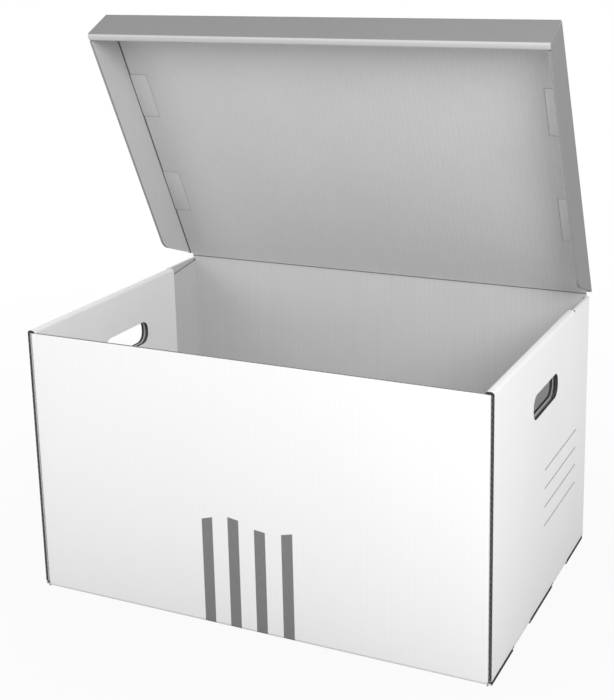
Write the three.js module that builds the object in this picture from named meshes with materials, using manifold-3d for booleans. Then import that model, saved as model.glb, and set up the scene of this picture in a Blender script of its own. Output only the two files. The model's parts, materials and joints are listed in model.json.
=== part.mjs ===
// Archive storage box: one die-cut sheet of corrugated board, folded into a tray with a hinged flip-top lid.
// Millimetres, +Z up, +X to the right, -Y to the front. The origin is the middle of the underside.
// The lid stands part way open. It is a second mesh only because it turns on its crease.

import * as THREE from 'three';
import { mergeVertices } from 'three/addons/utils/BufferGeometryUtils.js';
import Module from 'manifold-3d';

const wasm = await Module();
wasm.setup();

// Driving dimensions of the board
const board = 3.2;
const foldRadius = 3;
const arcSteps = 3;

// Driving dimensions of the tray
const bodyWidth = 545;
const bodyDepth = 360;
const sideHeight = 312;
const sideCornerFlap = 118;
const cornerFlapTaper = 14;
const rollEndFromBack = 65;
const handHoleWidth = 94;
const handHoleHeight = 28;
const handHoleRadius = 12;
const handHoleBelowTop = 51;
const foldBridgeLength = 60;
const foldBridgeOffset = 75;
const rawEdgeInset = 0.4;

// Driving dimensions of the lid
const lidClearance = 1;
const lidSeatGap = 0.6;
const skirtDepth = 49;
const skirtCornerFlap = 90;
const skirtSlit = 1;
const flapRearStart = 6;
const flapRearRadius = 18;
const creaseGap = 0.25;
const lidOpenAngle = 64;
const footLength = 60;
const footWidth = 24;
const footRise = 0.3;
const footFromHinge = [ 110, 257 ];

// Places worked out from the driving dimensions
const halfWidth = bodyWidth / 2;
const halfDepth = bodyDepth / 2;
const sideInnerFace = halfWidth - 3 * board;
const wallTop = sideHeight - board;
const hingeHeight = sideHeight + lidSeatGap + board;
const rollEnd = halfDepth - rollEndFromBack;
const lidInner = halfWidth + lidClearance;
const lidOuter = lidInner + board;
const lidLength = bodyDepth + lidClearance + 3 * board;

// An outline from corners [ u, v, radius ], where a corner with a radius becomes an arc
function outline( corners ) {

	const shape = new THREE.Shape();
	const points = corners.map( ( [ u, v ] ) => new THREE.Vector2( u, v ) );
	corners.forEach( ( [ , , radius = 0 ], i ) => {

		const here = points[ i ];
		const before = points.at( i - 1 ).clone().sub( here ).normalize();
		const after = points[ ( i + 1 ) % points.length ].clone().sub( here ).normalize();
		const place = i === 0 ? 'moveTo' : 'lineTo';
		if ( radius === 0 ) {

			shape[ place ]( here.x, here.y );
			return;

		}

		const half = Math.acos( before.dot( after ) ) / 2;
		const trim = radius / Math.tan( half );
		const start = before.clone().multiplyScalar( trim ).add( here );
		const end = after.clone().multiplyScalar( trim ).add( here );
		const centre = before.clone().add( after ).normalize().multiplyScalar( radius / Math.sin( half ) ).add( here );
		const from = start.clone().sub( centre ).angle();
		const to = end.clone().sub( centre ).angle();
		shape[ place ]( start.x, start.y );
		shape.absarc( centre.x, centre.y, radius, from, to, before.cross( after ) > 0 );

	} );
	shape.closePath();
	return shape;

}

// A closed solid from a three.js geometry
function solid( geometry ) {

	geometry.deleteAttribute( 'normal' );
	geometry.deleteAttribute( 'uv' );
	const merged = mergeVertices( geometry, 1e-4 );
	return new wasm.Manifold( new wasm.Mesh( {
		numProp: 3,
		vertProperties: merged.attributes.position.array,
		triVerts: new Uint32Array( merged.index.array )
	} ) );

}

function extruded( corners, length, across, up, along ) {

	const geometry = new THREE.ExtrudeGeometry( outline( corners ), {
		depth: length,
		bevelEnabled: false,
		curveSegments: arcSteps
	} );
	return geometry.applyMatrix4( new THREE.Matrix4().makeBasis( across, up, along ) );

}

const X = new THREE.Vector3( 1, 0, 0 );
const Y = new THREE.Vector3( 0, 1, 0 );
const Z = new THREE.Vector3( 0, 0, 1 );

// Prisms with an outline in ( y, z ), ( x, z ) or ( x, y ), between two stations on the third axis
const alongX = ( corners, x0, x1 ) => solid( extruded( corners, x1 - x0, Y, Z, X ).translate( x0, 0, 0 ) );
const alongY = ( corners, y0, y1 ) => solid( extruded( corners, y1 - y0, X, Z, Y.clone().negate() ).translate( 0, y1, 0 ) );
const alongZ = ( corners, z0, z1 ) => solid( extruded( corners, z1 - z0, X, Y, Z ).translate( 0, 0, z0 ) );

const rectangle = ( u0, u1, v0, v1, radius = 0 ) =>
	[ [ u0, v0, radius ], [ u1, v0, radius ], [ u1, v1, radius ], [ u0, v1, radius ] ];

const joined = ( pieces ) => pieces.reduce( ( whole, piece ) => whole.add( piece ) );

const mirrored = ( piece ) => piece.mirror( [ 1, 0, 0 ] );

// Front wall, bottom and back wall in one strip, with the back wall's top mitred at the lid crease
function wallStrip() {

	const strip = alongX( [
		[ - halfDepth, wallTop ],
		[ - halfDepth, 0, foldRadius ],
		[ halfDepth, 0, foldRadius ],
		[ halfDepth, hingeHeight - creaseGap ],
		[ halfDepth - board, hingeHeight - creaseGap - board ],
		[ halfDepth - board, board ],
		[ board - halfDepth, board ],
		[ board - halfDepth, wallTop ]
	], board - halfWidth, halfWidth - board );
	const plan = rectangle( board - halfWidth, halfWidth - board, - halfDepth, halfDepth, foldRadius );
	return strip.intersect( alongZ( plan, - board, hingeHeight + board ) );

}

// A flap folded from an end wall, which lies between the two layers of a side
function cornerFlap( wallFace, inward ) {

	const tip = wallFace + inward * sideCornerFlap;
	return alongX( [
		[ wallFace + inward * board / 2, board ],
		[ tip, board ],
		[ tip, wallTop - cornerFlapTaper, cornerFlapTaper / 2 ],
		[ tip - inward * cornerFlapTaper, wallTop ],
		[ wallFace + inward * board / 2, wallTop ]
	], halfWidth - 2 * board, halfWidth - board );

}

// The right side: an outer panel that rolls over at the top and comes down inside as a second layer
function side() {

	const outerFoot = [ halfWidth, 0, foldRadius ];
	const outerPanel = alongY( [
		outerFoot,
		[ halfWidth, sideHeight ],
		[ halfWidth - board, sideHeight ],
		[ halfWidth - board, 0 ]
	], rollEnd, halfDepth );
	const rolledOver = alongY( [
		outerFoot,
		[ halfWidth, sideHeight, foldRadius ],
		[ sideInnerFace, sideHeight, foldRadius ],
		[ sideInnerFace, wallTop ],
		[ halfWidth - board, wallTop ],
		[ halfWidth - board, 0 ]
	], - halfDepth, rollEnd );
	const innerPanel = alongY(
		rectangle( sideInnerFace, sideInnerFace + board, board, wallTop ),
		board - halfDepth, rollEnd
	);
	const flaps = [ cornerFlap( - halfDepth, 1 ), cornerFlap( halfDepth, - 1 ) ];
	return joined( [ outerPanel, rolledOver, innerPanel, ...flaps, ...bottomRawEdges() ] );

}

// Beside the fold bridges the bottom's own cut edge shows under the side
function bottomRawEdges() {

	const bridge = [ foldBridgeOffset - foldBridgeLength / 2, foldBridgeOffset + foldBridgeLength / 2 ];
	const stretches = [
		[ foldRadius - halfDepth, - bridge[ 1 ] ],
		[ - bridge[ 0 ], bridge[ 0 ] ],
		[ bridge[ 1 ], halfDepth - foldRadius ]
	];
	return stretches.map( ( [ y0, y1 ] ) =>
		alongY( rectangle( halfWidth - 2 * board, halfWidth - rawEdgeInset, 0, board ), y0, y1 ) );

}

function handHole() {

	const middle = sideHeight - handHoleBelowTop - handHoleHeight / 2;
	return alongX( rectangle(
		- handHoleWidth / 2, handHoleWidth / 2,
		middle - handHoleHeight / 2, middle + handHoleHeight / 2,
		handHoleRadius
	), - halfWidth - board, halfWidth + board );

}

function tray() {

	return joined( [ wallStrip(), side(), mirrored( side() ) ] ).subtract( handHole() );

}

// Lid, drawn shut with its crease on the X axis: y runs from the crease to the front, z is 0 on its top face
function lidPanel() {

	return alongX( [
		[ - creaseGap, 0 ],
		[ - lidLength, 0, foldRadius ],
		[ - lidLength, - skirtDepth, foldRadius ],
		[ board - lidLength, - skirtDepth ],
		[ board - lidLength, - board ],
		[ - creaseGap - board, - board ]
	], - lidOuter, lidOuter );

}

// The skirt rolls under at its free edge and comes back up inside, short of the panel by a slit
function skirtRoll() {

	return alongX( [
		[ - lidLength, - skirtDepth / 2 ],
		[ - lidLength, - skirtDepth, foldRadius ],
		[ 3 * board - lidLength, - skirtDepth, foldRadius ],
		[ 3 * board - lidLength, - board - skirtSlit ],
		[ 2 * board - lidLength, - board - skirtSlit ],
		[ 2 * board - lidLength, board - skirtDepth ],
		[ board - lidLength, board - skirtDepth ],
		[ board - lidLength, - skirtDepth / 2 ]
	], - lidInner, lidInner );

}

// The right lid flap with its slanted rear end, and the corner flap that the skirt holds
function lidFlap() {

	const slant = skirtDepth - board;
	const flap = alongX( [
		[ - flapRearStart, - board / 2 ],
		[ - flapRearStart - slant, - skirtDepth, flapRearRadius ],
		[ board - lidLength, - skirtDepth ],
		[ board - lidLength, - board / 2 ]
	], lidInner, lidOuter );
	const heldFlap = alongX(
		rectangle( board - lidLength, 2 * board - lidLength, board - skirtDepth, - board ),
		lidInner - skirtCornerFlap, lidInner
	);
	return flap.add( heldFlap );

}

// The feet of the side flaps' locks, pressed nearly flush into the panel's inner face
function lockFeet() {

	return footFromHinge.map( ( middle ) => alongZ(
		rectangle( lidInner - footWidth, lidInner, - middle - footLength / 2, - middle + footLength / 2 ),
		- board - footRise, - board / 2
	) );

}

function lidSheet() {

	const right = joined( [ lidFlap(), ...lockFeet() ] );
	const sheet = joined( [ lidPanel(), skirtRoll(), right, mirrored( right ) ] );
	const folded = rectangle( - lidOuter, lidOuter, - 2 * skirtDepth, 0, foldRadius );
	return sheet.intersect( alongY( folded, - lidLength - board, board ) );

}

function meshOf( name, manifold, material ) {

	const { vertProperties, triVerts } = manifold.getMesh();
	const geometry = new THREE.BufferGeometry();
	geometry.setAttribute( 'position', new THREE.BufferAttribute( new Float32Array( vertProperties ), 3 ) );
	geometry.setIndex( new THREE.BufferAttribute( new Uint32Array( triVerts ), 1 ) );
	geometry.computeVertexNormals();
	const mesh = new THREE.Mesh( geometry, material );
	mesh.name = name;
	return mesh;

}

const whiteBoard = new THREE.MeshStandardMaterial( { color: 0xf1f1f1, roughness: 0.75, metalness: 0 } );
const greyBoard = new THREE.MeshStandardMaterial( { color: 0xa9a9a9, roughness: 0.8, metalness: 0 } );

const lidOnCrease = new THREE.Group();
lidOnCrease.position.set( 0, halfDepth, hingeHeight );
lidOnCrease.rotation.x = THREE.MathUtils.degToRad( - lidOpenAngle );
lidOnCrease.add( meshOf( 'lid', lidSheet(), greyBoard ) );

const archiveBox = new THREE.Group();
archiveBox.name = 'archive_storage_box';
archiveBox.add( meshOf( 'box_body', tray(), whiteBoard ) );
archiveBox.add( lidOnCrease );

export default archiveBox;
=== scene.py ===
# Archive storage box of white corrugated board with a grey flip-top lid, standing part way open
import json
import math

import bpy
from mathutils import Matrix, Vector


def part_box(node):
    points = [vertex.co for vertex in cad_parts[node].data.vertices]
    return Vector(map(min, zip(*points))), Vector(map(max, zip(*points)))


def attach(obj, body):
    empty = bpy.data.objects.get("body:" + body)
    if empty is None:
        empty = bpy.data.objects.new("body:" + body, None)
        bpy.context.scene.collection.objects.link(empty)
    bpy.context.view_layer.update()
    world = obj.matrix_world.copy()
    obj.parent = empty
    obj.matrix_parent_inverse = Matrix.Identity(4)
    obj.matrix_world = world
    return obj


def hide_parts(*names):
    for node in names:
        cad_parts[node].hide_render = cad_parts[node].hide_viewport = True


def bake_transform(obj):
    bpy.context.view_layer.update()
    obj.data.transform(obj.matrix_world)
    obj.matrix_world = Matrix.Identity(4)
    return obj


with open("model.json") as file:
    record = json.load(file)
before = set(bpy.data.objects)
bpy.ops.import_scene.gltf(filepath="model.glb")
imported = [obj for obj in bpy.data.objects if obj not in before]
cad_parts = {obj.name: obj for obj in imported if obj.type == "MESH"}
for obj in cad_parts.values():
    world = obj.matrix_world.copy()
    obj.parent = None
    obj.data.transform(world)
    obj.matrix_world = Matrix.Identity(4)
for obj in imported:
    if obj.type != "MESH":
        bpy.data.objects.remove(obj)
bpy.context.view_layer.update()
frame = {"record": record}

# Sizes of the board, in metres
BOARD = 0.0032
LINER = 0.0004
MEDIUM = 0.00028
FLUTE_PITCH = 0.0066
STEPS_PER_FLUTE = 8
FLUTE_FILL = 0.86
FOLD_RADIUS = 0.0034
FOLD_STEPS = 6
ROUND_STEPS = 8
EDGE_CHANNEL = 0.0016
SMOOTH_UNDER = math.radians(35)

# Sizes of the tray
SIDE_LAYERS = 3
CORNER_FLAP = 0.118
CORNER_FLAP_TAPER = 0.014
ROLL_END_FROM_BACK = 0.065
SIDE_BELOW_CREASE = 0.0006
BRIDGE_LENGTH = 0.060
BRIDGE_OFFSET = 0.075
BRIDGE_RADIUS = 0.005
RAW_EDGE_INSET = 0.0004
TONGUE_RISE = 0.0024
WALL_BOW = -0.0008
WALL_STATIONS = (16, 6)
HAND_HOLE = (0.094, 0.028)
HAND_HOLE_RADIUS = 0.012
HAND_HOLE_BELOW_TOP = 0.051

# Sizes of the lid
LID_ANGLE = math.radians(64)
LID_CLEARANCE = 0.001
LID_STATIONS = (12, 10)
LID_EDGE_CHANNEL = 0.0006
CREASE_REACH = 0.0045
SKIRT_DEPTH = 0.049
SKIRT_SLIT = 0.001
SKIRT_CORNER_FLAP = 0.090
LAYER_GAP = 0.0001
FLAP_REAR_START = 0.006
FLAP_REAR_SLOPE = 1.0
FLAP_REAR_BEVEL = 0.009
FOOT = (0.024, 0.060)
FOOT_FROM_HINGE = (0.110, 0.257)
FOOT_RISE = 0.0003
FOOT_ROUND = 0.00024
FOOT_SLIT = 0.0016

# Sheets are first drawn this many radii past a fold, and what is past the fold is dropped
SPARE = 6
TINY = 1e-5

# Places worked out from the frame
tray_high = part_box("box_body")[1]
HALF_WIDTH = tray_high[0]
HALF_DEPTH = tray_high[1]
CREASE = Vector(frame["record"]["behaviour"]["joints"][0]["pos_m"])
SIDE_TOP = CREASE.z - BOARD - SIDE_BELOW_CREASE
WALL_TOP = SIDE_TOP - BOARD
SIDE_INNER = HALF_WIDTH - SIDE_LAYERS * BOARD
BETWEEN_LAYERS = (HALF_WIDTH + SIDE_INNER) / 2
FREE_HALF_WIDTH = HALF_WIDTH - (SIDE_LAYERS + 1) * BOARD
ROLL_END = HALF_DEPTH - ROLL_END_FROM_BACK
BRIDGE_ENDS = (BRIDGE_OFFSET - BRIDGE_LENGTH / 2, BRIDGE_OFFSET + BRIDGE_LENGTH / 2)
RAW_STRETCHES = (
    (-HALF_DEPTH, -BRIDGE_ENDS[1]),
    (-BRIDGE_ENDS[0], BRIDGE_ENDS[0]),
    (BRIDGE_ENDS[1], HALF_DEPTH),
)
LID_INNER = HALF_WIDTH + LID_CLEARANCE
LID_OUTER = LID_INNER + BOARD
LID_LENGTH = 2 * HALF_DEPTH + LID_CLEARANCE + SIDE_LAYERS * BOARD
BEHIND_SKIRT = SIDE_LAYERS * BOARD - LID_LENGTH

# Print: four stripes on the front that rise from the bottom, and four ruled lines on the right side
STRIPE_WIDTH = 0.0132
STRIPE_TOPS = (
    (-0.0505, 0.125, 0.30),
    (-0.0185, 0.1296, -0.15),
    (0.0135, 0.121, -0.10),
    (0.0460, 0.1232, 0.25),
)
RULE_HEIGHTS = (0.161, 0.139, 0.117, 0.0945)
RULE_SPAN = (0.002, 0.132)
RULE_WEIGHT = 0.0016

# Painted shade along the lid's folds, round its feet and in its crease, a painted highlight on the feet's
# outer edges, and a lighter band on the skirt's free edge
FOLD_SHADE_BAND = (0.0001, 0.0022)
FOOT_HIGHLIGHT_WIDTH = 0.0012
FOOT_SLOT = 0.0010
FOOT_SLOT_SHADE = 0.45
SKIRT_EDGE_BAND = 0.0015
CREASE_SHADE_HALF_WIDTH = 0.0007

# Paper: greys on screen with how far each strays, and what its tone and its relief are made of
WHITE = (242, 2.5)
KRAFT = (204, 7)
CREASE_KRAFT = (206, 7)
FOOT_KRAFT = (210, 6)
GREY = (142, 4)
STRIPE_GREY = 122
RULE_GREY = 140
# A lighter grey along the skirt's rolled free edge
SKIRT_EDGE_GREY = 198
# Painted shade in the lid's folds, and fainter round its feet
FOLD_SHADE_GREY = 100
# Painted highlight along the outer edges of the locking feet
FOOT_HIGHLIGHT_GREY = 228
# Painted shade along the inside of the lid's crease
CREASE_SHADE_GREY = 120
# Raw edges: the board's own edge colour, darkened with painted shade
CUT_EDGE_AND_SHADE_GREYS = (58, 92)
PALE_CUT_GREYS = (148, 176)
MEDIUM_GREYS = (112, 142)
CLOUD_SCALE = 9
CLOUD_DETAIL = 3
CLOUD_SHARE = 0.5
FIBRE_SCALE = 900
FIBRE_GRAIN = 0.6
FIBRE_STRETCH = 0.12
FIBRE_SHARE = 0.2
STREAK_SCALE = 150
STREAK_STRETCH = 0.03
STREAK_SHARE = 0.3
# Share of painted shade that follows the washboard in the paper's colour
WAVE_SHADE_SHARE = 0.06
PRINT_AND_PAINTED_LIGHT_COVER = 0.93
PRINT_AND_PAINTED_LIGHT_BREAKUP = 0.12
WAVE_RELIEF = 0.5
FIBRE_RELIEF = 0.3
EDGE_FIBRE_SCALE = 700
EDGE_RELIEF = 0.0001
FINE_WASHBOARD = 0.00004
WASHBOARD = 0.00006
LID_WASHBOARD = 0.00009
WHITE_ROUGHNESS = 0.6
PRINTED_ROUGHNESS = 0.7
KRAFT_ROUGHNESS = 0.8
EDGE_ROUGHNESS = 0.9
PAPER_SPECULAR = 0.3

# Floor, light and camera
STAGE_SIZE = 30
STAGE_DROP = 0.0003
STAGE_GLOW = 0.94
STAGE_FADE = 0.5
STAGE_COLOUR_FADE = 2.0
STAGE_NEAR = 110
STAGE_FAR = 225
STAGE_ROUGHNESS = 0.9
WORLD_LEVEL = 0.65
LAMP_AIM = Vector((0, 0, 0.25))
LAMPS = (
    ("key", (1.3, -1.3, 1.3), 0.9, 21),
    ("fill", (-1.9, -2.3, 1.4), 1.6, 21),
)
PHOTO_LONG_SIDE = 700
PHOTO_MIDDLE = (307, 350)
SENSOR_WIDTH = 36
CAMERA_PLACE = (0.63650, -1.31272, 0.74223)
CAMERA_AZIMUTH = math.radians(25.210)
CAMERA_ELEVATION = math.radians(13.504)
CAMERA_ROLL = math.radians(-1.121)
CAMERA_FOCUS_PX = 1318.1
CAMERA_AXIS_PX = (330.0, 244.9)


# Shader arithmetic
class Value:
    """An output socket of a node, with arithmetic and one way to add any other node."""

    def __init__(self, tree, output=None):
        self.tree = tree
        self.output = output

    def node(self, kind, settings=None, inputs=None, output=0):
        """A new node with its settings and the values or links of its sockets, as one of its outputs."""
        made = self.tree.nodes.new(kind)
        for name, setting in (settings or {}).items():
            setattr(made, name, setting)
        for name, given in (inputs or {}).items():
            if isinstance(given, Value):
                self.tree.links.new(given.output, made.inputs[name])
            else:
                made.inputs[name].default_value = given
        return Value(self.tree, made.outputs[output])

    def also(self, output):
        """Another output of the same node."""
        return Value(self.tree, self.output.node.outputs[output])

    def maths(self, operation, *others):
        return self.node("ShaderNodeMath", {"operation": operation}, dict(enumerate((self, *others))))

    def __add__(self, other):
        return self.maths("ADD", other)

    __radd__ = __add__

    def __mul__(self, other):
        return self.maths("MULTIPLY", other)

    __rmul__ = __mul__

    def __sub__(self, other):
        return self.maths("SUBTRACT", other)

    def __rsub__(self, other):
        return (self * -1) + other

    def __lt__(self, other):
        return self.maths("LESS_THAN", other)

    def __gt__(self, other):
        return self.maths("GREATER_THAN", other)

    def between(self, low, high):
        return (self > low) * (self < high)

    def sine(self):
        return self.maths("SINE")

    def magnitude(self):
        return self.maths("ABSOLUTE")

    def clamped(self):
        return self.node("ShaderNodeClamp", {}, {"Value": self})

    def noise(self, scale, detail=2, roughness=0.5, stretch=(1, 1, 1)):
        place = self.node("ShaderNodeMapping", {}, {"Vector": self, "Scale": stretch})
        numbers = {"Vector": place, "Scale": scale, "Detail": detail, "Roughness": roughness}
        return self.node("ShaderNodeTexNoise", {}, numbers)

    def blend(self, first, second):
        """The colour first where this value is 0 and second where it is 1."""
        return self.node("ShaderNodeMix", {"data_type": "RGBA"}, {0: self, 6: first, 7: second}, 2)


def grey(level):
    """A neutral colour from its 0 to 255 grey on screen."""
    share = level / 255
    linear = share / 12.92 if share <= 0.04045 else ((share + 0.055) / 1.055) ** 2.4
    return (linear, linear, linear, 1)


def new_material(name):
    """A material with its Principled shader, its object coordinates and the x, y and z of them."""
    material = bpy.data.materials.new(name)
    material.use_nodes = True
    tree = material.node_tree
    place = Value(tree).node("ShaderNodeTexCoord", output="Object")
    parts = place.node("ShaderNodeSeparateXYZ", {}, {0: place})
    axes = {axis: parts.also(axis.upper()) for axis in "xyz"}
    return material, tree.nodes["Principled BSDF"], place, axes


def finish_surface(shader, colour, height, depth, roughness):
    bump = height.node("ShaderNodeBump", {}, {"Height": height, "Distance": depth, "Strength": 1.0})
    height.tree.links.new(colour.output, shader.inputs["Base Color"])
    height.tree.links.new(bump.output, shader.inputs["Normal"])
    shader.inputs["Roughness"].default_value = roughness
    shader.inputs["Specular IOR Level"].default_value = PAPER_SPECULAR


def stretched(along, share):
    """A scale that draws a pattern out along one axis."""
    return tuple(share if axis == along else 1 for axis in "xyz")


def liner(name, tone, across, along, finish, mask=None, print_and_painted_light_level=None):
    """The paper face of the board: cloudy, fibres along the flutes and a faint washboard across them, with
    painted shade that follows the washboard. A mask lays its own grey on it: print, a lighter skirt edge,
    and painted shade and painted highlight on the lid.
    """
    material, shader, place, axes = new_material(name)
    level, stray = tone
    roughness, washboard = finish
    cloud = place.noise(CLOUD_SCALE, CLOUD_DETAIL)
    fibre = place.noise(FIBRE_SCALE, roughness=FIBRE_GRAIN, stretch=stretched(along, FIBRE_STRETCH))
    streak = place.noise(STREAK_SCALE, stretch=stretched(along, STREAK_STRETCH))
    # The washboard's wave also goes into the colour as painted shade
    wave = (axes[across] * (2 * math.pi / FLUTE_PITCH)).sine()
    shade = cloud * CLOUD_SHARE + fibre * FIBRE_SHARE + streak * STREAK_SHARE + wave * WAVE_SHADE_SHARE
    colour = shade.clamped().blend(grey(level - stray), grey(level + stray))
    if mask:
        # The mask lays its grey over the paper: print, a lighter skirt edge, and on the lid's inside painted
        # shade and painted highlight
        print_and_painted_light_cover = (mask(axes) * (PRINT_AND_PAINTED_LIGHT_COVER + fibre * PRINT_AND_PAINTED_LIGHT_BREAKUP)).clamped()
        colour = print_and_painted_light_cover.blend(colour, grey(print_and_painted_light_level))
    relief = wave * WAVE_RELIEF + fibre * FIBRE_RELIEF
    finish_surface(shader, colour, relief, washboard, roughness)
    return material


def plain_paper(name, greys):
    """Bare paper with only its fibres, as in the cut edges."""
    material, shader, place, _ = new_material(name)
    low, high = greys
    tone = place.noise(EDGE_FIBRE_SCALE, roughness=FIBRE_GRAIN)
    finish_surface(shader, tone.blend(grey(low), grey(high)), tone, EDGE_RELIEF, EDGE_ROUGHNESS)
    return material


def stripes(axes):
    """Where the front is printed: each stripe has a middle, a top height and a slope of its top."""
    marks = []
    for middle, top, slope in STRIPE_TOPS:
        from_middle = axes["x"] - middle
        below_top = (axes["z"] - from_middle * slope) < top
        marks.append((from_middle.magnitude() < STRIPE_WIDTH / 2) * below_top)
    return sum(marks) * (axes["y"] < FOLD_RADIUS / 2 - HALF_DEPTH)


def ruled_lines(axes):
    """Where the right side is printed with lines to write on."""
    lines = sum((axes["z"] - height).magnitude() < RULE_WEIGHT / 2 for height in RULE_HEIGHTS)
    return lines * axes["y"].between(*RULE_SPAN) * (axes["x"] > 0)


def fold_and_slot_shade(axes):
    """Painted shade on the lid's inside: a dark line along the folds beside its side flaps, and darker slots
    round the feet.
    """
    from_fold = LID_INNER - axes["x"].magnitude()
    along = (axes["z"] - CREASE.z) * math.sin(LID_ANGLE) - (axes["y"] - CREASE.y) * math.cos(LID_ANGLE)
    half_slot = FOOT[1] / 2 + FOOT_SLOT
    slots = sum((along - middle).magnitude() < half_slot for middle in FOOT_FROM_HINGE)
    slots = slots * from_fold.between(0, FOOT[0] + FOOT_SLOT)
    return (from_fold.between(*FOLD_SHADE_BAND) + slots * FOOT_SLOT_SHADE).clamped()


def foot_edge_highlight(axes):
    """Painted highlight along the outer edge of a locking foot, beside the fold."""
    return axes["x"].magnitude() > LID_INNER - FOOT_SLIT - FOOT_HIGHLIGHT_WIDTH


def rolled_edge(axes):
    """The free edge of the skirt, laid in a lighter grey than the rest of its print."""
    away = (axes["y"] - CREASE.y) * math.sin(LID_ANGLE) + (axes["z"] - CREASE.z) * math.cos(LID_ANGLE)
    return away < SKIRT_EDGE_BAND - SKIRT_DEPTH


def crease_shade(axes):
    """Painted shade: a dark line along the inside of the lid's crease."""
    return axes["z"].between(CREASE.z - CREASE_SHADE_HALF_WIDTH, CREASE.z + CREASE_SHADE_HALF_WIDTH)


def lid_side(axes):
    """The part of the crease that carries the lid's print."""
    return axes["z"] > CREASE.z


white_finish = (WHITE_ROUGHNESS, FINE_WASHBOARD)
printed_finish = (PRINTED_ROUGHNESS, FINE_WASHBOARD)
kraft_finish = (KRAFT_ROUGHNESS, WASHBOARD)
lid_finish = (KRAFT_ROUGHNESS, LID_WASHBOARD)
strip_white = liner("strip_white_liner", WHITE, "x", "z", white_finish, stripes, STRIPE_GREY)
side_white = liner("side_white_liner", WHITE, "z", "y", white_finish, ruled_lines, RULE_GREY)
kraft_upright = liner("upright_kraft_liner", KRAFT, "x", "z", kraft_finish)
kraft_level = liner("level_kraft_liner", KRAFT, "x", "y", kraft_finish)
kraft_side = liner("side_kraft_liner", KRAFT, "z", "y", kraft_finish)
lid_grey = liner("lid_grey_liner", GREY, "x", "z", printed_finish)
# Skirt print, with a lighter grey along its rolled free edge
skirt_grey = liner("skirt_grey_liner", GREY, "x", "z", printed_finish, rolled_edge, SKIRT_EDGE_GREY)
# Lid inside, with painted shade along its folds and round its feet
lid_kraft = liner("lid_kraft_liner", KRAFT, "x", "z", lid_finish, fold_and_slot_shade, FOLD_SHADE_GREY)
# Locking feet, with a painted highlight along their outer edges
foot_kraft = liner("foot_kraft_liner", FOOT_KRAFT, "x", "z", lid_finish, foot_edge_highlight, FOOT_HIGHLIGHT_GREY)
crease_white = liner("crease_white_liner", WHITE, "x", "z", printed_finish, lid_side, GREY[0])
# Crease inside, with a painted line of shade along it
crease_kraft = liner("crease_kraft_liner", CREASE_KRAFT, "x", "z", kraft_finish, crease_shade, CREASE_SHADE_GREY)
# Raw edges, darkened with painted shade as in deep gaps
cut_edge_and_shade = plain_paper("cut_edge_and_shade", CUT_EDGE_AND_SHADE_GREYS)
pale_edge = plain_paper("pale_cut_edge", PALE_CUT_GREYS)
medium = plain_paper("fluted_medium", MEDIUM_GREYS)


# Work on meshes with operators
def select_only(obj):
    bpy.ops.object.select_all(action="DESELECT")
    obj.select_set(True)
    bpy.context.view_layer.objects.active = obj


def pick_items(obj, kind, choose):
    """Selects just the vertices, edges or faces that choose says yes to, and goes to edit mode."""
    bpy.ops.object.mode_set(mode="OBJECT")
    mesh = obj.data
    kinds = {"VERT": mesh.vertices, "EDGE": mesh.edges, "FACE": mesh.polygons}
    for items in kinds.values():
        items.foreach_set("select", [False] * len(items))
    for item in kinds[kind]:
        item.select = choose(item)
    bpy.context.tool_settings.mesh_select_mode = tuple(each == kind for each in kinds)
    bpy.ops.object.mode_set(mode="EDIT")


def pick(obj, kind, test):
    """Selects just the vertices, edges or faces whose points all pass the test, and goes to edit mode."""
    def passes(item):
        corners = [item] if kind == "VERT" else [obj.data.vertices[i] for i in item.vertices]
        return all(test(corner.co) for corner in corners)

    pick_items(obj, kind, passes)


def drop_faces(obj, test):
    pick(obj, "FACE", test)
    bpy.ops.mesh.delete(type="FACE")
    bpy.ops.object.mode_set(mode="OBJECT")


def cut_faces(obj, place, normal, test=lambda point: True):
    """Cuts the faces that pass the test along a plane."""
    pick(obj, "FACE", test)
    bpy.ops.mesh.bisect(plane_co=place, plane_no=normal)
    bpy.ops.object.mode_set(mode="OBJECT")


def trim(obj, place, normal, test):
    """Cuts the faces that pass the test along a plane, and takes off what lies on its normal's side."""
    cut_faces(obj, place, normal, test)
    drop_faces(obj, lambda point: test(point) and (point - Vector(place)).dot(Vector(normal)) > -TINY)


def modified(obj, kind, **settings):
    modifier = obj.modifiers.new(kind.title(), kind)
    for name, setting in settings.items():
        setattr(modifier, name, setting)
    select_only(obj)
    bpy.ops.object.modifier_apply(modifier=modifier.name)


def smooth(obj):
    select_only(obj)
    bpy.ops.object.shade_smooth_by_angle(angle=SMOOTH_UNDER)
    return obj


def evenly(low, high, count):
    return [low + (high - low) * i / count for i in range(1, count)]


def within(value, low, high):
    return low - TINY < value < high + TINY


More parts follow.
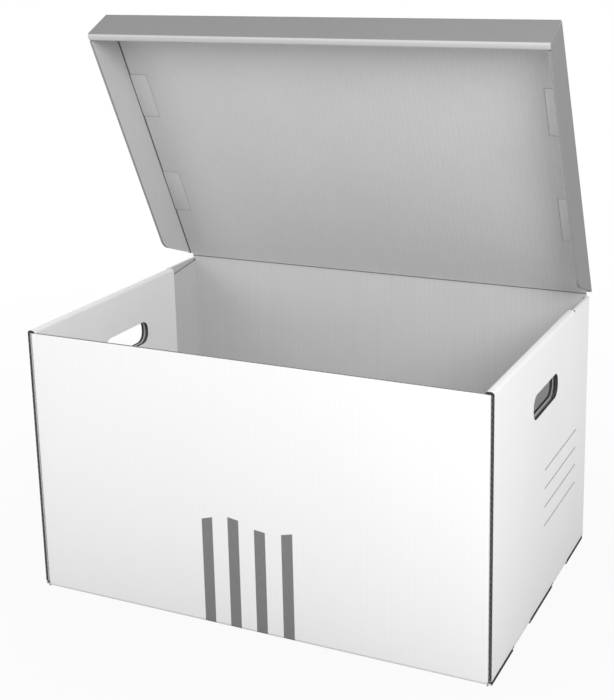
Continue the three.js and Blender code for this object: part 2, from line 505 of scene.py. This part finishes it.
# Boards, folds and flutes
def folded_sheet(name, path, ends, outward, radii=None, stations=()):
    """The outer face of a board: a plane pulled along the path from fold to fold, with the folds rounded."""
    path = [Vector(point) for point in path]
    ends = [Vector(end) for end in ends]
    bpy.ops.object.select_all(action="DESELECT")
    bpy.ops.mesh.primitive_plane_add()
    obj = bpy.context.object
    obj.name = name
    starts = [path[0] + ends[0], path[1] + ends[0], path[0] + ends[1], path[1] + ends[1]]
    for vertex, place in zip(obj.data.vertices, starts):
        vertex.co = place
    middle = (ends[0] + ends[1]) / 2
    span = (ends[1] - ends[0]).normalized()

    def on_fold(point, corner):
        away = point - corner - middle
        return (away - span * away.dot(span)).length < TINY

    pick(obj, "EDGE", lambda point: on_fold(point, path[1]))
    for before, after in zip(path[1:], path[2:]):
        bpy.ops.mesh.extrude_region_move(TRANSFORM_OT_translate={"value": after - before})
    bpy.ops.object.mode_set(mode="OBJECT")
    if obj.data.polygons[0].normal.dot(Vector(outward)) < 0:
        obj.data.flip_normals()
    folds = path[1:-1]
    for corner, radius in zip(folds, radii or [FOLD_RADIUS] * len(folds)):
        pick(obj, "EDGE", lambda point: on_fold(point, corner))
        bpy.ops.mesh.bevel(offset=radius, segments=FOLD_STEPS, affect="EDGES")
    bpy.ops.object.mode_set(mode="OBJECT")
    for place, normal in stations:
        cut_faces(obj, place, normal)
    return obj


def thickened(obj, outer, inner, edge, thickness=BOARD):
    """Gives a sheet its thickness, with its two liners and the cut edge as materials."""
    for material in (outer, inner, edge):
        obj.data.materials.append(material)
    modified(
        obj, "SOLIDIFY", thickness=thickness, offset=-1, use_even_offset=True,
        material_offset=1, material_offset_rim=2,
    )
    return obj


def channelled(obj, depth=EDGE_CHANNEL):
    """Sinks a channel between the two liners along each cut edge, and smooths the folds."""
    pick_items(obj, "FACE", lambda face: face.material_index == 2)
    bpy.ops.mesh.inset(thickness=LINER, use_even_offset=True)
    bpy.ops.mesh.extrude_region_shrink_fatten(TRANSFORM_OT_shrink_fatten={"value": -depth})
    bpy.ops.object.mode_set(mode="OBJECT")
    return smooth(obj)


def flutes(name, start, end, into, across):
    """The wavy middle layer that shows in a cut edge from start to end, with its depth along into."""
    start, end, into, across = (Vector(v) for v in (start, end, into, across))
    length = (end - start).length
    steps = round(length / FLUTE_PITCH) * STEPS_PER_FLUTE
    bpy.ops.object.select_all(action="DESELECT")
    bpy.ops.mesh.primitive_grid_add(x_subdivisions=steps, y_subdivisions=1, size=1)
    obj = bpy.context.object
    obj.name = name
    swing = BOARD / 2 - LINER - MEDIUM / 2
    middle = start + into * EDGE_CHANNEL / 2
    for vertex in obj.data.vertices:
        share = vertex.co.x + 0.5
        wave = math.cos(share * length / FLUTE_PITCH * 2 * math.pi)
        inwards = into * vertex.co.y * EDGE_CHANNEL * FLUTE_FILL
        vertex.co = middle + (end - start) * share + inwards + across * swing * wave
    obj.data.materials.append(medium)
    modified(obj, "SOLIDIFY", thickness=MEDIUM, offset=0)
    return smooth(obj)


def mirrored_copy(obj, name):
    """A copy on the other side of the middle, with its own mesh and its faces outwards."""
    copy = obj.copy()
    copy.data = obj.data.copy()
    copy.name = name
    bpy.context.collection.objects.link(copy)
    copy.data.transform(Matrix.Scale(-1, 4, Vector((1, 0, 0))))
    copy.data.flip_normals()
    return copy


def finished(obj, body, slot, *nodes):
    """Rides on its body and stands for CAD nodes. Its slot is not used."""
    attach(obj, body)
    if nodes:
        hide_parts(*nodes)
    return obj


# The tray
def bow(obj, wall_y, sign):
    """Lets a tall wall bend a little, most at the middle of its top."""
    for vertex in obj.data.vertices:
        if abs(vertex.co.y - wall_y) > 2 * BOARD:
            continue
        sideways = max(0.0, 1 - (vertex.co.x / FREE_HALF_WIDTH) ** 2)
        upwards = min(1.0, max(0.0, vertex.co.z / WALL_TOP))
        vertex.co.y += sign * WALL_BOW * sideways * upwards


def end_wall(name, sign, top):
    """Front or back wall with the two corner flaps that fold in behind the sides, tapered to their tips."""
    fold_x = HALF_WIDTH - BOARD
    wall_y = sign * HALF_DEPTH
    tip_y = wall_y - sign * CORNER_FLAP
    path = [(-fold_x, tip_y, 0), (-fold_x, wall_y, 0), (fold_x, wall_y, 0), (fold_x, tip_y, 0)]
    columns, rows = WALL_STATIONS
    stations = [((x, 0, 0), (1, 0, 0)) for x in evenly(-fold_x, fold_x, columns)]
    stations += [((0, 0, z), (0, 0, 1)) for z in evenly(FOLD_RADIUS, top, rows)]
    wall = folded_sheet(name, path, [(0, 0, FOLD_RADIUS), (0, 0, top)], (-1, 0, 0), stations=stations)
    flat_start = wall_y - sign * FOLD_RADIUS
    slope = (0, -sign * CORNER_FLAP_TAPER, CORNER_FLAP - FOLD_RADIUS)
    trim(wall, (0, flat_start, WALL_TOP), slope, lambda p: sign * (flat_start - p.y) > -TINY)
    return channelled(thickened(wall, strip_white, kraft_upright, pale_edge))


def tray_floor():
    """The bottom with its front and back folds, and its raw edges between the fold bridges."""
    inner_x = HALF_WIDTH - BRIDGE_RADIUS
    upright = SPARE * FOLD_RADIUS
    path = [(0, -HALF_DEPTH, upright), (0, -HALF_DEPTH, 0), (0, HALF_DEPTH, 0), (0, HALF_DEPTH, upright)]
    stations = [((0, sign * y, 0), (0, 1, 0)) for y in BRIDGE_ENDS for sign in (-1, 1)]
    floor = folded_sheet("bottom", path, [(-inner_x, 0, 0), (inner_x, 0, 0)], (0, -1, 0), stations=stations)
    drop_faces(floor, lambda p: p.z > FOLD_RADIUS - TINY)
    reach = HALF_WIDTH - RAW_EDGE_INSET - inner_x
    for side in (-1, 1):
        for low, high in RAW_STRETCHES:
            pick(floor, "EDGE", lambda p: abs(p.x - side * inner_x) < TINY and within(p.y, low, high))
            bpy.ops.mesh.extrude_region_move(TRANSFORM_OT_translate={"value": (side * reach, 0, 0)})
    bpy.ops.object.mode_set(mode="OBJECT")
    return channelled(thickened(floor, strip_white, kraft_level, cut_edge_and_shade))


def lock_tongues():
    """The crushed ends of the sides that lie on the bottom's raw edges, between the fold bridges."""
    tongues = []
    top = BOARD + TONGUE_RISE
    path = [(HALF_WIDTH - BOARD, 0, top), (HALF_WIDTH - RAW_EDGE_INSET, 0, top)]
    for i, (low, high) in enumerate(RAW_STRETCHES):
        tongue = folded_sheet(f"right_tongue_{i}", path, [(0, low, 0), (0, high, 0)], (0, 0, 1))
        thickened(tongue, kraft_level, kraft_level, cut_edge_and_shade, TONGUE_RISE)
        tongues += [channelled(tongue, EDGE_CHANNEL / 2), mirrored_copy(tongue, f"left_tongue_{i}")]
    return tongues


def hand_hole_cutter():
    """A bar with the hand hole's rounded outline that passes through both layers of the right side."""
    width, height = HAND_HOLE
    bpy.ops.object.select_all(action="DESELECT")
    bpy.ops.mesh.primitive_cube_add(size=1)
    cutter = bpy.context.object
    cutter.data.materials.append(cut_edge_and_shade)
    middle_z = SIDE_TOP - HAND_HOLE_BELOW_TOP - height / 2
    cutter.data.transform(Matrix.Diagonal((4 * SIDE_LAYERS * BOARD, width, height, 1)))
    cutter.data.transform(Matrix.Translation((HALF_WIDTH, 0, middle_z)))

    def along_bar(edge):
        start, end = (cutter.data.vertices[i].co for i in edge.vertices)
        return abs(start.x - end.x) > BOARD

    pick_items(cutter, "EDGE", along_bar)
    bpy.ops.mesh.bevel(offset=HAND_HOLE_RADIUS, segments=ROUND_STEPS, affect="EDGES")
    bpy.ops.object.mode_set(mode="OBJECT")
    return cutter


def right_side():
    """One sheet from its fold bridges up the outer panel, over the rolled top and down the inner panel."""
    path = [
        (HALF_WIDTH - SPARE * BRIDGE_RADIUS, 0, 0),
        (HALF_WIDTH, 0, 0),
        (HALF_WIDTH, 0, SIDE_TOP),
        (SIDE_INNER, 0, SIDE_TOP),
        (SIDE_INNER, 0, BOARD),
    ]
    inner_front = BOARD - HALF_DEPTH
    cuts = [inner_front, ROLL_END, *BRIDGE_ENDS, *(-y for y in BRIDGE_ENDS)]
    stations = [((0, y, 0), (0, 1, 0)) for y in cuts]
    radii = [BRIDGE_RADIUS, FOLD_RADIUS, FOLD_RADIUS]
    ends = [(0, -HALF_DEPTH, 0), (0, HALF_DEPTH, 0)]
    side = folded_sheet("right_side", path, ends, (0, 0, -1), radii, stations)
    drop_faces(side, lambda p: p.z < TINY)
    raw_low = BOARD + TONGUE_RISE + TINY
    for low, high in RAW_STRETCHES:
        trim(side, (0, 0, raw_low), (0, 0, -1), lambda p: p.x > BETWEEN_LAYERS and within(p.y, low, high))
    roll_low = SIDE_TOP - FOLD_RADIUS
    past_roll = ROLL_END - TINY
    drop_faces(side, lambda p: p.y > past_roll and p.z > roll_low - TINY)
    drop_faces(side, lambda p: p.y > past_roll and p.x < BETWEEN_LAYERS)
    drop_faces(side, lambda p: p.y < inner_front + TINY and p.x < BETWEEN_LAYERS and p.z < roll_low + TINY)
    pick(side, "EDGE", lambda p: p.x > HALF_WIDTH - TINY and p.y > past_roll and p.z > roll_low - TINY)
    bpy.ops.mesh.extrude_region_move(TRANSFORM_OT_translate={"value": (0, 0, FOLD_RADIUS)})
    bpy.ops.object.mode_set(mode="OBJECT")
    thickened(side, side_white, kraft_side, cut_edge_and_shade)
    for face in side.data.polygons:
        if face.material_index == 2 and face.center.z > SIDE_TOP - LINER and face.center.y > ROLL_END:
            face.material_index = 0
    cutter = hand_hole_cutter()
    cut = {"operation": "DIFFERENCE", "object": cutter, "solver": "EXACT", "material_mode": "TRANSFER"}
    modified(side, "BOOLEAN", **cut)
    bpy.data.objects.remove(cutter)
    return channelled(side)


def tray_flutes():
    """The wavy medium in the cut edges that cross the flutes."""
    front_y = BOARD / 2 - HALF_DEPTH
    left_end = (-FREE_HALF_WIDTH, front_y, WALL_TOP)
    right_end = (FREE_HALF_WIDTH, front_y, WALL_TOP)
    front = flutes("front_top_flutes", left_end, right_end, (0, 0, -1), (0, 1, 0))
    bow(front, -HALF_DEPTH, -1)
    pieces = [front]
    outer_x = HALF_WIDTH - BOARD / 2
    low, high = BRIDGE_RADIUS + BOARD / 2, SIDE_TOP - BOARD
    for word, sign in (("front", -1), ("back", 1)):
        y = sign * HALF_DEPTH
        ends = ((outer_x, y, low), (outer_x, y, high))
        right = flutes(f"right_{word}_flutes", *ends, (0, -sign, 0), (1, 0, 0))
        pieces += [right, mirrored_copy(right, f"left_{word}_flutes")]
    return pieces


def tray_pieces():
    front = end_wall("front_wall", -1, WALL_TOP)
    bow(front, -HALF_DEPTH, -1)
    back = end_wall("back_wall", 1, CREASE.z - CREASE_REACH)
    right = right_side()
    return [front, back, tray_floor(), right, mirrored_copy(right, "left_side"), *lock_tongues()]


# The lid, made shut with its crease on the x axis and then turned to where it stands
def lid_panel():
    """Lid panel with its two side flaps, which make room for the skirt in front and slant away behind."""
    path = [
        (-LID_OUTER, 0, -SKIRT_DEPTH),
        (-LID_OUTER, 0, 0),
        (LID_OUTER, 0, 0),
        (LID_OUTER, 0, -SKIRT_DEPTH),
    ]
    front = FOLD_RADIUS - LID_LENGTH
    columns, rows = LID_STATIONS
    cuts = [*evenly(front, -CREASE_REACH, rows), BEHIND_SKIRT]
    stations = [((x, 0, 0), (1, 0, 0)) for x in evenly(-LID_INNER, LID_INNER, columns)]
    stations += [((0, y, 0), (0, 1, 0)) for y in cuts]
    ends = [(0, front, 0), (0, -CREASE_REACH, 0)]
    panel = folded_sheet("lid_panel", path, ends, (-1, 0, 0), stations=stations)
    flap_top = -FOLD_RADIUS
    over_skirt = (0, 0, BOARD - SKIRT_DEPTH)
    trim(panel, over_skirt, (0, 0, -1), lambda p: p.z < flap_top + TINY and p.y < BEHIND_SKIRT + TINY)
    slant = (0, 1, -1 / FLAP_REAR_SLOPE)
    trim(panel, (0, -FLAP_REAR_START, flap_top), slant, lambda p: p.z < flap_top + TINY)
    rear_y = -FLAP_REAR_START - (SKIRT_DEPTH - FOLD_RADIUS) / FLAP_REAR_SLOPE
    pick(panel, "VERT", lambda p: within(p.y, rear_y, rear_y) and within(p.z, -SKIRT_DEPTH, -SKIRT_DEPTH))
    bpy.ops.mesh.bevel(offset=FLAP_REAR_BEVEL, segments=ROUND_STEPS, affect="VERTICES")
    bpy.ops.object.mode_set(mode="OBJECT")
    return channelled(thickened(panel, lid_grey, lid_kraft, pale_edge), LID_EDGE_CHANNEL)


def lid_skirt():
    """The front skirt, rolled under at its free edge and brought up again inside."""
    path = [
        (0, SPARE * FOLD_RADIUS - LID_LENGTH, 0),
        (0, -LID_LENGTH, 0),
        (0, -LID_LENGTH, -SKIRT_DEPTH),
        (0, BEHIND_SKIRT, -SKIRT_DEPTH),
        (0, BEHIND_SKIRT, -BOARD - SKIRT_SLIT),
    ]
    ends = [(-LID_OUTER, 0, 0), (LID_OUTER, 0, 0)]
    stations = [((sign * LID_INNER, 0, 0), (1, 0, 0)) for sign in (-1, 1)]
    skirt = folded_sheet("lid_skirt", path, ends, (0, 0, 1), stations=stations)
    drop_faces(skirt, lambda p: p.z > -TINY)
    drop_faces(skirt, lambda p: abs(p.x) > LID_INNER - TINY and p.z > -FOLD_RADIUS - TINY)
    drop_faces(skirt, lambda p: abs(p.x) > LID_INNER - TINY and p.y > BEHIND_SKIRT - TINY)
    return channelled(thickened(skirt, skirt_grey, lid_kraft, pale_edge), LID_EDGE_CHANNEL)


def skirt_corner_flap(name, side):
    """The end of a side flap, folded in between the two layers of the skirt."""
    middle_x = side * (LID_INNER - SKIRT_CORNER_FLAP / 2)
    y = BOARD + LAYER_GAP - LID_LENGTH
    path = [(middle_x - SKIRT_CORNER_FLAP / 2, y, 0), (middle_x + SKIRT_CORNER_FLAP / 2, y, 0)]
    ends = [(0, 0, BOARD + LAYER_GAP - SKIRT_DEPTH), (0, 0, -BOARD - LAYER_GAP)]
    flap = folded_sheet(name, path, ends, (0, -1, 0))
    thickened(flap, lid_grey, lid_kraft, pale_edge, BOARD - 2 * LAYER_GAP)
    return channelled(flap, LID_EDGE_CHANNEL)


def lock_foot(name, side, from_hinge):
    """A locking foot of the rolled side that stands through the panel, a little proud of it."""
    bpy.ops.object.select_all(action="DESELECT")
    bpy.ops.mesh.primitive_cube_add(size=1)
    foot = bpy.context.object
    foot.name = name
    width, length = FOOT
    foot.data.transform(Matrix.Diagonal((width - FOOT_SLIT, length, 2 * FOOT_RISE, 1)))
    middle_x = side * (LID_INNER - FOOT_SLIT - (width - FOOT_SLIT) / 2)
    foot.data.transform(Matrix.Translation((middle_x, -from_hinge, -BOARD)))
    modified(foot, "BEVEL", width=FOOT_ROUND, segments=3)
    foot.data.materials.append(foot_kraft)
    return smooth(foot)


def turned_open(obj):
    """Turns a lid piece about the crease to the angle at which the lid stands."""
    obj.data.transform(Matrix.Translation(CREASE) @ Matrix.Rotation(-LID_ANGLE, 4, "X"))
    return obj


def lid_pieces():
    pieces = [lid_panel(), lid_skirt()]
    for side, word in ((-1, "left"), (1, "right")):
        pieces.append(skirt_corner_flap(f"{word}_skirt_corner_flap", side))
        for i, from_hinge in enumerate(FOOT_FROM_HINGE):
            pieces.append(lock_foot(f"{word}_foot_{i}", side, from_hinge))
    return [turned_open(piece) for piece in pieces]


def crease():
    """The pressed fold between the back wall and the lid panel, bent to the angle at which the lid stands.
    """
    along = Vector((0, -math.cos(LID_ANGLE), math.sin(LID_ANGLE)))
    fold_x = HALF_WIDTH - BOARD
    spare = SPARE * CREASE_REACH
    path = [CREASE - Vector((0, 0, spare)), CREASE, CREASE + along * spare]
    strip = folded_sheet("lid_crease", path, [(-fold_x, 0, 0), (fold_x, 0, 0)], (0, 1, 0), [CREASE_REACH])
    drop_faces(strip, lambda p: p.z < CREASE.z - CREASE_REACH + TINY)
    drop_faces(strip, lambda p: (p - CREASE).dot(along) > CREASE_REACH - TINY)
    smooth(thickened(strip, crease_white, crease_kraft, pale_edge))
    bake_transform(strip)


for piece in tray_pieces():
    finished(piece, "box", "white_board", "box_body")
for piece in tray_flutes():
    finished(piece, "box", "white_board")
for piece in lid_pieces():
    finished(piece, "lid", "grey_board", "lid")
crease()


# Floor, light and camera
def seen_directly(tree):
    """1 for the camera, for reflections and for what shows through, and 0 for the light on the object."""
    seen = Value(tree).node("ShaderNodeLightPath", output="Is Camera Ray")
    return (seen + seen.also("Is Glossy Ray") + seen.also("Is Transmission Ray")).clamped()


def stage_material():
    """White for the camera and for reflections, and darker round the object for a soft shadow."""
    material, shader, _, axes = new_material("stage_white")
    tree = material.node_tree
    spread = axes["x"] * axes["x"] + axes["y"] * axes["y"]
    colour = (spread * STAGE_COLOUR_FADE).clamped().blend(grey(STAGE_NEAR), grey(STAGE_FAR))
    tree.links.new(colour.output, shader.inputs["Base Color"])
    shader.inputs["Roughness"].default_value = STAGE_ROUGHNESS
    share = (spread * STAGE_FADE).clamped() * (1 - STAGE_GLOW) + STAGE_GLOW
    glow = spread.node("ShaderNodeEmission", {}, {"Strength": 1.0})
    plain = Value(tree, shader.outputs[0])
    mix = glow.node("ShaderNodeMixShader", {}, {"Fac": seen_directly(tree) * share, 1: plain, 2: glow})
    tree.links.new(mix.output, tree.nodes["Material Output"].inputs["Surface"])
    return material


def stage():
    bpy.ops.object.select_all(action="DESELECT")
    bpy.ops.mesh.primitive_plane_add(size=STAGE_SIZE, location=(0, 0, -STAGE_DROP))
    floor = bpy.context.object
    floor.name = "studio_floor"
    floor.data.materials.append(stage_material())


def world_light():
    world = bpy.data.worlds.new("studio")
    bpy.context.scene.world = world
    world.use_nodes = True
    tree = world.node_tree
    background = tree.nodes["Background"]
    background.inputs["Color"].default_value = (1, 1, 1, 1)
    strength = seen_directly(tree) * (1 - WORLD_LEVEL) + WORLD_LEVEL
    tree.links.new(strength.output, background.inputs["Strength"])


def lamps():
    for name, place, size, power in LAMPS:
        light = bpy.data.lights.new(name, "AREA")
        light.size = size
        light.energy = power
        lamp = bpy.data.objects.new(name, light)
        lamp.location = place
        lamp.rotation_euler = (LAMP_AIM - Vector(place)).to_track_quat("-Z", "Y").to_euler()
        bpy.context.collection.objects.link(lamp)


def photo_camera():
    data = bpy.data.cameras.new("photo_camera")
    camera = bpy.data.objects.new("photo_camera", data)
    bpy.context.collection.objects.link(camera)
    a, e = CAMERA_AZIMUTH, CAMERA_ELEVATION
    forward = Vector((-math.sin(a) * math.cos(e), math.cos(a) * math.cos(e), -math.sin(e)))
    level = Vector((math.cos(a), math.sin(a), 0))
    right = level * math.cos(CAMERA_ROLL) + level.cross(forward) * math.sin(CAMERA_ROLL)
    up = right.cross(forward)
    turn = Matrix((right, up, -forward)).transposed().to_4x4()
    camera.matrix_world = Matrix.Translation(CAMERA_PLACE) @ turn
    data.sensor_width = SENSOR_WIDTH
    data.lens = CAMERA_FOCUS_PX * SENSOR_WIDTH / PHOTO_LONG_SIDE
    data.shift_x = (PHOTO_MIDDLE[0] - CAMERA_AXIS_PX[0]) / PHOTO_LONG_SIDE
    data.shift_y = (CAMERA_AXIS_PX[1] - PHOTO_MIDDLE[1]) / PHOTO_LONG_SIDE
    bpy.context.scene.camera = camera


stage()
world_light()
lamps()
photo_camera()
bpy.context.scene.view_settings.view_transform = "Standard"
